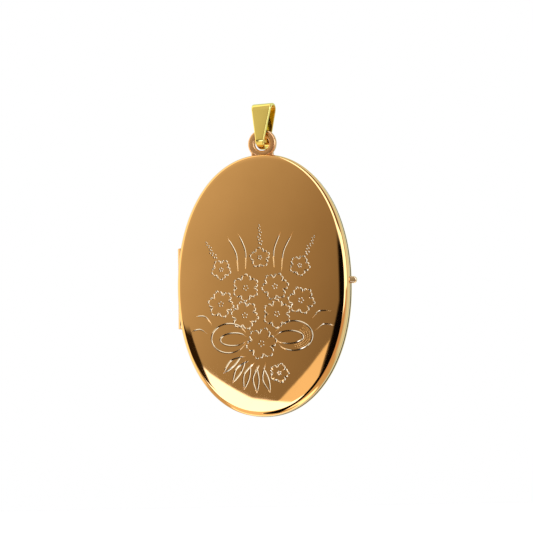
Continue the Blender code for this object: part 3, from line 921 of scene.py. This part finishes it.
def make_hanger_ring():
    radius = (ring_high.x - ring_low.x) / 2
    thick = ring_high.y - ring_low.y
    centre = Vector((0, (ring_low.y + ring_high.y) / 2, ring_high.z - radius))
    middle = radius - RING_BAND / 2
    section = [(0, y, middle + up) for y, up in rounded_flat(thick / 2, RING_BAND / 2, RING_CORNER, 24)]
    ring = finish_piece("hanger_ring_band", spun(section, (0, 1, 0), 96, True), [rose_ring], centre=centre)
    foot = bmesh.new()
    bmesh.ops.create_cube(foot, size=1)
    bmesh.ops.scale(foot, verts=foot.verts, vec=(FOOT_WIDTH, FOOT_THICKNESS, FOOT_HEIGHT))
    soften(foot, 0.2 * MM, 4)
    foot_centre = centre + Vector((0, 0.02 * MM, -FOOT_TOP - FOOT_HEIGHT / 2))
    foot_piece = finish_piece("ring_foot", foot, [rose_ring], centre=foot_centre)
    join = ring.modifiers.new("solder", "BOOLEAN")
    join.operation = "UNION"
    join.object = foot_piece
    join.solver = "EXACT"
    edge = HALF_HEIGHT + 0.03 * MM
    body = turned_oval([(0, -1.2 * MM), (edge, -1.2 * MM), (edge, 1.6 * MM), (0, 1.6 * MM)], False)
    bmesh.ops.translate(body, verts=body.verts, vec=OVAL_CENTRE)
    cut_away(ring, [body])
    bpy.data.objects.remove(foot_piece, do_unlink=True)
    deliver(ring, "rear_half", "rose_gold_ring", "hanger_ring")


BAIL_SHEET = 0.38 * MM
BAIL_BEVEL_WIDTH = 0.30 * MM
BAIL_BEVEL_DEPTH = 0.24 * MM
BAIL_TOP_RADIUS = 1.00 * MM
BAIL_TIP_RADIUS = 1.22 * MM
BAIL_TOP_WIDTH = 3.15 * MM
BAIL_TIP_WIDTH = 1.50 * MM
BAIL_END_WIDTH = 0.90 * MM
BAIL_YAW = math.radians(-10)
BAIL_LEAN = math.radians(2.2)
BAIL_SHIFT = 0.10 * MM


def bail_section(half_width):
    """The strap's section as (across, outward): flat inside, with a soft bevel along both outer edges."""
    inner, outer, soft = -BAIL_SHEET / 2, BAIL_SHEET / 2, 0.05 * MM
    right = [(half_width - soft, inner), (half_width, inner + soft)]
    for step in range(6):
        turn = math.pi / 2 * step / 5
        across = half_width - BAIL_BEVEL_WIDTH * (1 - math.cos(turn) ** 0.8)
        right.append((across, outer - BAIL_BEVEL_DEPTH * (1 - math.sin(turn) ** 0.8)))
    return right + [(-across, out) for across, out in reversed(right)]


def bail_loop(top_z, tip_z):
    """(outward turn, radius, centre height) round the loop, with points along its two straight legs."""
    lean = math.asin((BAIL_TOP_RADIUS - BAIL_TIP_RADIUS) / (top_z - tip_z))
    top = [(BAIL_TOP_RADIUS, top_z, -lean + (math.pi + 2 * lean) * step / 40) for step in range(41)]
    tip = [(BAIL_TIP_RADIUS, tip_z, math.pi + lean + (math.pi - 2 * lean) * step / 40) for step in range(41)]
    loop = []
    for bend, after in ((top, tip), (tip, top)):
        loop += [(turn, radius, centre_z) for radius, centre_z, turn in bend]
        radius, centre_z, turn = bend[-1]
        for step in range(1, 16):
            share = step / 16
            loop.append(
                (turn, radius + (after[0][0] - radius) * share, centre_z + (after[0][1] - centre_z) * share)
            )
    return loop


def make_bail():
    """A strap with soft corners, swept round a closed loop and tapered to a rounded tip."""
    top_z = bail_high.z - BAIL_TOP_RADIUS - BAIL_SHEET / 2
    tip_z = bail_low.z + BAIL_TIP_RADIUS + BAIL_SHEET / 2
    shape = bmesh.new()
    rings = []
    for turn, radius, centre_z in bail_loop(top_z, tip_z):
        outward = Vector((0, math.cos(turn), math.sin(turn)))
        middle = Vector((0, 0, centre_z)) + outward * radius
        if middle.z < tip_z:
            drop = min(1, (tip_z - middle.z) / BAIL_TIP_RADIUS)
            width = BAIL_END_WIDTH + (BAIL_TIP_WIDTH - BAIL_END_WIDTH) * math.sqrt(1 - drop * drop)
        else:
            share = (middle.z - tip_z) / (top_z - tip_z)
            width = BAIL_TIP_WIDTH + (BAIL_TOP_WIDTH - BAIL_TIP_WIDTH) * share
        ring = []
        for across, out in bail_section(width / 2):
            ring.append(shape.verts.new(middle + outward * out + Vector((across, 0, 0))))
        rings.append(ring)
    edges = [[shape.edges.new(pair) for pair in zip(ring, ring[1:] + ring[:1])] for ring in rings]
    for first, second in zip(edges, edges[1:] + edges[:1]):
        bmesh.ops.bridge_loops(shape, edges=first + second)
    turned = Matrix.Rotation(BAIL_LEAN, 4, "Y") @ Matrix.Rotation(BAIL_YAW, 4, "Z")
    settled = Matrix.Translation((BAIL_SHIFT + math.sin(BAIL_LEAN) * -tip_z, 0, 0)) @ turned
    bmesh.ops.transform(shape, matrix=settled, verts=shape.verts)
    bail = finish_piece("bail_strap", shape, [yellow_bail], sharp=40, centre=(0, 0, 0))
    deliver(bail, "bail", "yellow_gold_bail", "bail")


def make_thumb_tab():
    """A rounded tongue that spreads into the wall at its root."""
    height = tab_high.z - tab_low.z
    thick = tab_high.y - tab_low.y
    middle = (tab_low + tab_high) / 2
    shape = bmesh.new()
    bmesh.ops.create_cone(
        shape,
        cap_ends=True,
        segments=ROUND_STEPS,
        radius1=height / 2,
        radius2=height / 2,
        depth=thick,
        matrix=Matrix.Rotation(math.pi / 2, 4, "X"),
    )
    for vert in shape.verts:
        if vert.co.x < 0:
            vert.co.x -= 1.0 * MM
    soften(shape, 0.22 * MM, 5)
    centre = Vector((tab_high.x - height / 2, middle.y, middle.z))
    tab = finish_piece("thumb_tab_tongue", shape, [tab_painted_highlight], centre=centre)
    edge = HALF_HEIGHT + 0.03 * MM
    body = turned_oval([(0, -1.62 * MM), (edge, -1.62 * MM), (edge, 1.6 * MM), (0, 1.6 * MM)], False)
    bmesh.ops.translate(body, verts=body.verts, vec=OVAL_CENTRE)
    cut_away(tab, [body])
    deliver(tab, "front_half", "rose_gold_cover", "thumb_tab")


# ---------------------------------------------------------------- camera, floor and light

CAMERA_AZIMUTH = math.radians(14)
CAMERA_ELEVATION = math.radians(-7.9)
CAMERA_ROLL = math.radians(-0.96)
CAMERA_DISTANCE = 236 * MM
CAMERA_LENS = 105.0
AIM_RIGHT = math.radians(0.09)  # how far the view is turned past the oval's centre
AIM_UP = math.radians(0.67)


def make_camera():
    back = Vector(
        (
            math.sin(CAMERA_AZIMUTH) * math.cos(CAMERA_ELEVATION),
            -math.cos(CAMERA_AZIMUTH) * math.cos(CAMERA_ELEVATION),
            math.sin(CAMERA_ELEVATION),
        )
    )
    right = Vector((math.cos(CAMERA_AZIMUTH), math.sin(CAMERA_AZIMUTH), 0))
    up = back.cross(right)
    turned_right = right * math.cos(CAMERA_ROLL) + up * math.sin(CAMERA_ROLL)
    turned_up = up * math.cos(CAMERA_ROLL) - right * math.sin(CAMERA_ROLL)
    facing = Matrix((turned_right, turned_up, back)).transposed()
    aim = Matrix.Rotation(-AIM_RIGHT, 3, "Y") @ Matrix.Rotation(AIM_UP, 3, "X")
    lens = bpy.data.cameras.new("camera")
    lens.lens = CAMERA_LENS
    lens.sensor_width = 36
    lens.clip_start = 0.01
    lens.clip_end = 10
    camera = bpy.data.objects.new("camera", lens)
    bpy.context.scene.collection.objects.link(camera)
    camera.matrix_world = Matrix.Translation(OVAL_CENTRE + back * CAMERA_DISTANCE) @ (facing @ aim).to_4x4()
    bpy.context.scene.camera = camera


FLOOR_Z = cad_box[0].z - 28 * MM


def make_floor():
    """A pale paper floor, left out of the gold's reflections, which show the studio instead."""
    shape = bmesh.new()
    bmesh.ops.create_circle(shape, cap_ends=True, segments=128, radius=3.0)
    bmesh.ops.translate(shape, verts=shape.verts, vec=(0, 0, FLOOR_Z))
    mesh = bpy.data.meshes.new("floor")
    shape.to_mesh(mesh)
    shape.free()
    material = bpy.data.materials.new("floor_paper")
    material.use_nodes = True
    shader = material.node_tree.nodes["Principled BSDF"]
    shader.inputs["Base Color"].default_value = (0.92, 0.92, 0.92, 1)
    shader.inputs["Roughness"].default_value = 0.9
    shader.inputs["Emission Color"].default_value = (1, 1, 1, 1)
    shader.inputs["Emission Strength"].default_value = 0.35
    mesh.materials.append(material)
    floor = bpy.data.objects.new("floor", mesh)
    bpy.context.scene.collection.objects.link(floor)
    floor.visible_glossy = False


def calculate(tree, operation, *values):
    """A Math node on sockets or plain numbers."""
    node = tree.nodes.new("ShaderNodeMath")
    node.operation = operation
    for socket, value in zip(node.inputs, values):
        if isinstance(value, (int, float)):
            socket.default_value = value
        else:
            tree.links.new(value, socket)
    return node.outputs[0]


def rise(tree, value, start, end):
    """Nought to one, smoothly, as value goes from start to end, which may run downwards."""
    node = tree.nodes.new("ShaderNodeMapRange")
    node.interpolation_type = "SMOOTHSTEP"
    node.inputs["From Min"].default_value = start
    node.inputs["From Max"].default_value = end
    tree.links.new(value, node.inputs["Value"])
    return node.outputs["Result"]


def both(tree, first, second):
    return calculate(tree, "MULTIPLY", first, second)


def band(tree, value, low, high, soft):
    """One between low and high, with soft edges."""
    return both(tree, rise(tree, value, low - soft, low), rise(tree, value, high + soft, high))


def ramp(tree, value, stops, low, high):
    """A colour ramp over the range from low to high, with its stops as (value, colour)."""
    share = tree.nodes.new("ShaderNodeMapRange")
    share.inputs["From Min"].default_value = low
    share.inputs["From Max"].default_value = high
    tree.links.new(value, share.inputs["Value"])
    node = tree.nodes.new("ShaderNodeValToRGB")
    elements = node.color_ramp.elements
    while len(elements) < len(stops):
        elements.new(1.0)
    for element, (position, colour) in zip(elements, stops):
        element.position = (position - low) / (high - low)
        element.color = (*colour, 1)
    tree.links.new(share.outputs["Result"], node.inputs["Fac"])
    return node.outputs["Color"]


def paint(tree, under, colour, mask):
    """Colour laid over another through a mask."""
    node = tree.nodes.new("ShaderNodeMix")
    node.data_type = "RGBA"
    tree.links.new(mask, node.inputs[0])
    tree.links.new(under, node.inputs[6])
    node.inputs[7].default_value = (*colour, 1)
    return node.outputs[2]


# Edges of the studio's dark and bright shapes, as (slope, start) lines over azimuth or elevation.
WEDGE_TOP = 5.5  # elevation above which the dark wedge's edge stands upright
WEDGE_EDGE = (0.55, 7.3)
STREAK_EDGE = (1.2, -0.9)
CRESCENT_STEEP = (-0.35, -13.0)
CRESCENT_FLAT = (-0.16, -9.8)
LEFT_EDGE = (-0.7, -32.0)


def make_studio():
    """Plain white to the eye. To the gold, a tent of soft light with a dim front and a few bright strips.

    Directions are an azimuth (0 straight in front of the face, + towards the tab) and an elevation,
    both in degrees.
    """
    scene = bpy.context.scene
    world = bpy.data.worlds.new("studio")
    scene.world = world
    world.use_nodes = True
    tree = world.node_tree
    link = tree.links.new
    plain = tree.nodes["Background"]
    plain.inputs["Color"].default_value = (1, 1, 1, 1)
    direction = tree.nodes.new("ShaderNodeTexCoord")
    split = tree.nodes.new("ShaderNodeSeparateXYZ")
    link(direction.outputs["Generated"], split.inputs["Vector"])
    forward = calculate(tree, "MULTIPLY", split.outputs["Y"], -1)
    turn = calculate(tree, "ARCTAN2", split.outputs["X"], forward)
    azimuth = calculate(tree, "MULTIPLY", turn, math.degrees(1))
    climb = calculate(tree, "ARCSINE", split.outputs["Z"])
    elevation = calculate(tree, "MULTIPLY", climb, math.degrees(1))

    slant = calculate(tree, "SUBTRACT", elevation, azimuth)
    tent = ((-30, (0.14, 0.11, 0.08)), (14, (0.40, 0.34, 0.25)), (60, (0.80, 0.75, 0.62)))
    light = ramp(tree, slant, tent, -60, 120)
    aside = calculate(tree, "ABSOLUTE", azimuth)
    light = paint(tree, light, (0.80, 1.0, 1.15), rise(tree, aside, 56, 66))
    light = paint(tree, light, (1.0, 1.3, 1.5), band(tree, azimuth, 96, 124, 6))
    light = paint(tree, light, (0.78, 0.96, 0.80), rise(tree, aside, 128, 140))
    light = paint(tree, light, (0.80, 0.56, 0.40), band(tree, azimuth, 16, 60, 3))
    upper_right = both(tree, band(tree, azimuth, 28, 72, 6), rise(tree, elevation, 14, 20))
    light = paint(tree, light, (0.22, 0.15, 0.10), upper_right)
    light = paint(tree, light, (1.7, 1.6, 1.35), band(tree, azimuth, -118, -66, 8))
    light = paint(tree, light, (0.80, 0.66, 0.46), rise(tree, elevation, -18, -26))
    light = paint(tree, light, (2.2, 2.2, 2.2), band(tree, elevation, -66, -48, 4))
    bright_line = both(tree, band(tree, azimuth, 12, 34, 3), rise(tree, elevation, 1, 4))
    light = paint(tree, light, (2.6, 2.9, 3.6), bright_line)
    bright_shoulder = both(tree, band(tree, azimuth, 12, 62, 4), band(tree, elevation, 7, 22, 2))
    light = paint(tree, light, (2.4, 2.8, 3.4), bright_shoulder)

    drop = calculate(tree, "MINIMUM", calculate(tree, "SUBTRACT", elevation, WEDGE_TOP), 0.0)
    wedge_line = calculate(tree, "MULTIPLY_ADD", drop, *WEDGE_EDGE)
    past_wedge = calculate(tree, "SUBTRACT", azimuth, wedge_line)
    black = both(tree, rise(tree, past_wedge, -0.5, 0.5), rise(tree, azimuth, 16, 12))
    light = paint(tree, light, (0.004, 0.003, 0.003), both(tree, black, rise(tree, elevation, 16, 12)))
    streak_line = calculate(tree, "MULTIPLY_ADD", elevation, *STREAK_EDGE)
    past_streak = calculate(tree, "SUBTRACT", past_wedge, streak_line)
    streak = both(tree, rise(tree, past_streak, -0.4, 0.5), rise(tree, past_wedge, -0.2, -0.6))
    light = paint(tree, light, (1.2, 1.08, 0.86), both(tree, streak, rise(tree, elevation, 3.0, 0.0)))

    steep_line = calculate(tree, "MULTIPLY_ADD", azimuth, *CRESCENT_STEEP)
    flat_line = calculate(tree, "MULTIPLY_ADD", azimuth, *CRESCENT_FLAT)
    low_line = calculate(tree, "MAXIMUM", steep_line, flat_line)
    under = calculate(tree, "SUBTRACT", elevation, low_line)
    crescent = both(tree, rise(tree, under, 0.2, -0.3), rise(tree, elevation, -17, -14))
    sides = both(tree, rise(tree, azimuth, -38, -34), rise(tree, past_wedge, -0.2, -0.6))
    light = paint(tree, light, (2.8, 3.2, 4.4), both(tree, crescent, sides))
    left_line = calculate(tree, "MULTIPLY_ADD", elevation, *LEFT_EDGE)
    left_of = calculate(tree, "SUBTRACT", left_line, azimuth)
    left_dark = both(tree, rise(tree, left_of, -0.3, 0.3), band(tree, elevation, -6, 2, 1.5))
    light = paint(tree, light, (0.03, 0.02, 0.01), both(tree, left_dark, rise(tree, azimuth, -56, -50)))

    glow = tree.nodes.new("ShaderNodeBackground")
    link(light, glow.inputs["Color"])
    path = tree.nodes.new("ShaderNodeLightPath")
    mix = tree.nodes.new("ShaderNodeMixShader")
    link(path.outputs["Is Camera Ray"], mix.inputs["Fac"])
    link(glow.outputs["Background"], mix.inputs[1])
    link(plain.outputs["Background"], mix.inputs[2])
    link(mix.outputs["Shader"], tree.nodes["World Output"].inputs["Surface"])
    scene.view_settings.view_transform = "Standard"


# ---------------------------------------------------------------- assembly

make_camera()
make_floor()
make_studio()
make_front_cover()
make_rear_cover()
make_front_rim()
make_rear_rim()
make_inside("front", 1)
make_inside("rear", -1)
make_hinge()
make_hanger_ring()
make_bail()
make_thumb_tab()
